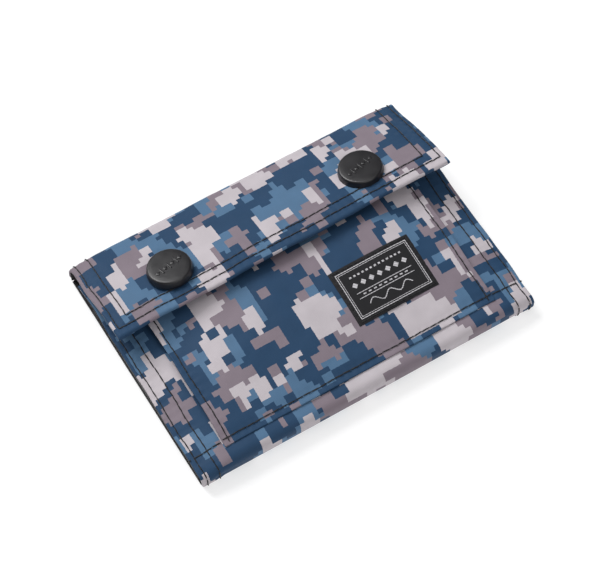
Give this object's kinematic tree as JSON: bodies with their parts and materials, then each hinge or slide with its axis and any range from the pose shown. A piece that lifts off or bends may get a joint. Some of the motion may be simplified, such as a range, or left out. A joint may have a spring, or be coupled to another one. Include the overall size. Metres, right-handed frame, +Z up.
{
  "type": "trifold wallet",
  "caption": "Trifold nylon wallet with a raised front pocket, a flap that closes with two snaps, and folding panels with card pockets and a window inside.",
  "frame": {"origin": "on the table, under the middle of the closed wallet", "axes": "+X along the folds towards the label's side, +Y from the bottom fold to the top fold, +Z up out of the front"},
  "size_m": [0.121, 0.0854, 0.0198],
  "materials": {
    "camo_nylon": "fine woven nylon with a four-colour printed block camouflage",
    "black_lining": "thin black woven lining",
    "interlining": "non-woven stiffener",
    "snap": "satin black moulded",
    "label": "black woven label with off-white marks",
    "clear_film": "clear flexible film"
  },
  "bodies": {
    "back": {"back_cover": "camo_nylon", "back_lining": "black_lining", "back_inner_panel": "black_lining", "card_pocket_1": "black_lining", "card_pocket_2": "black_lining", "card_pocket_3": "black_lining"},
    "bottom_fold": {"bottom_fold": "camo_nylon", "bottom_fold_lining": "black_lining"},
    "front": {"front_cover": "camo_nylon", "front_lining": "black_lining", "front_inner_panel": "black_lining", "id_window_film": "clear_film", "id_window_frame": "black_lining", "pocket_panel": "camo_nylon", "pocket_gusset_left": "camo_nylon", "pocket_gusset_right": "camo_nylon", "woven_label": "label", "snap_stud_left": "snap", "snap_stud_right": "snap", "snap_post_left": "snap", "snap_post_right": "snap"},
    "top_fold": {"top_fold": "camo_nylon", "top_fold_lining": "black_lining"},
    "flap": {"flap_outer": "camo_nylon", "flap_interlining": "interlining", "flap_lining": "black_lining", "snap_cap_left": "snap", "snap_cap_right": "snap", "snap_socket_left": "snap", "snap_socket_right": "snap"}
  },
  "joints": [
    {"name": "bottom_fold_hinge", "type": "hinge", "parent": "back", "child": "bottom_fold", "pos_m": [0, -0.0422, 0.0005], "axis": [1, 0, 0], "range_deg": [0, 85]},
    {"name": "front_hinge", "type": "hinge", "parent": "bottom_fold", "child": "front", "pos_m": [0, -0.0422, 0.0079], "axis": [1, 0, 0], "range_deg": [0, 85]},
    {"name": "top_fold_hinge", "type": "hinge", "parent": "back", "child": "top_fold", "pos_m": [0, 0.0422, 0.0005], "axis": [-1, 0, 0], "range_deg": [0, 85]},
    {"name": "flap_hinge", "type": "hinge", "parent": "top_fold", "child": "flap", "pos_m": [0, 0.0422, 0.0085], "axis": [-1, 0, 0], "range_deg": [0, 70]}
  ],
  "couplings": [
    {"joint": "bottom_fold_hinge", "follows": "front_hinge", "ratio": 1},
    {"joint": "top_fold_hinge", "follows": "flap_hinge", "ratio": 1.2142}
  ]
}
